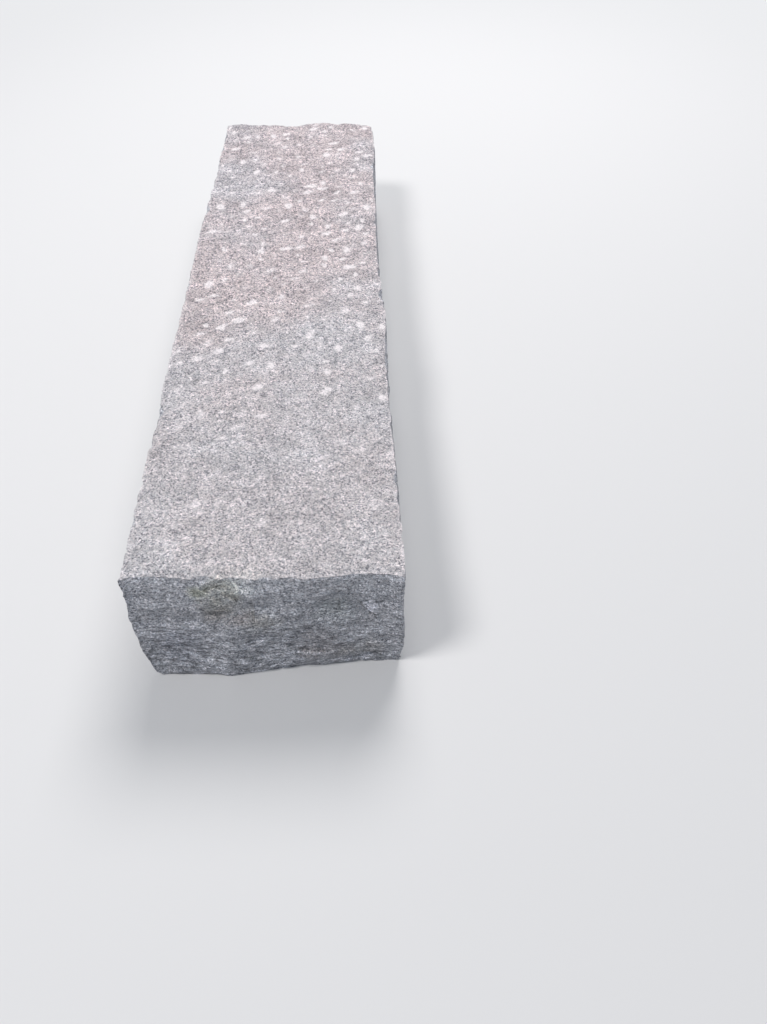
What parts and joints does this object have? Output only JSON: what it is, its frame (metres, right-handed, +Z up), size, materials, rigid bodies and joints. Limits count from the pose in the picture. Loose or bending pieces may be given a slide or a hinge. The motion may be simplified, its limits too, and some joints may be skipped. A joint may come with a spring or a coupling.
{
  "type": "granite kerb stone",
  "caption": "Long rectangular granite kerb with flat top and bed, rough split sides and ends, and chipped arrises.",
  "frame": {"origin": "middle of the bed, the face that the stone lies on", "axes": "+Y along the stone, away from the end seen in the picture; +X across it; +Z up, from the bed to the top"},
  "size_m": [0.3111, 1.2678, 0.17],
  "materials": {
    "granite": "matte"
  },
  "bodies": {
    "root": {"granite_kerb": "granite"}
  },
  "joints": []
}
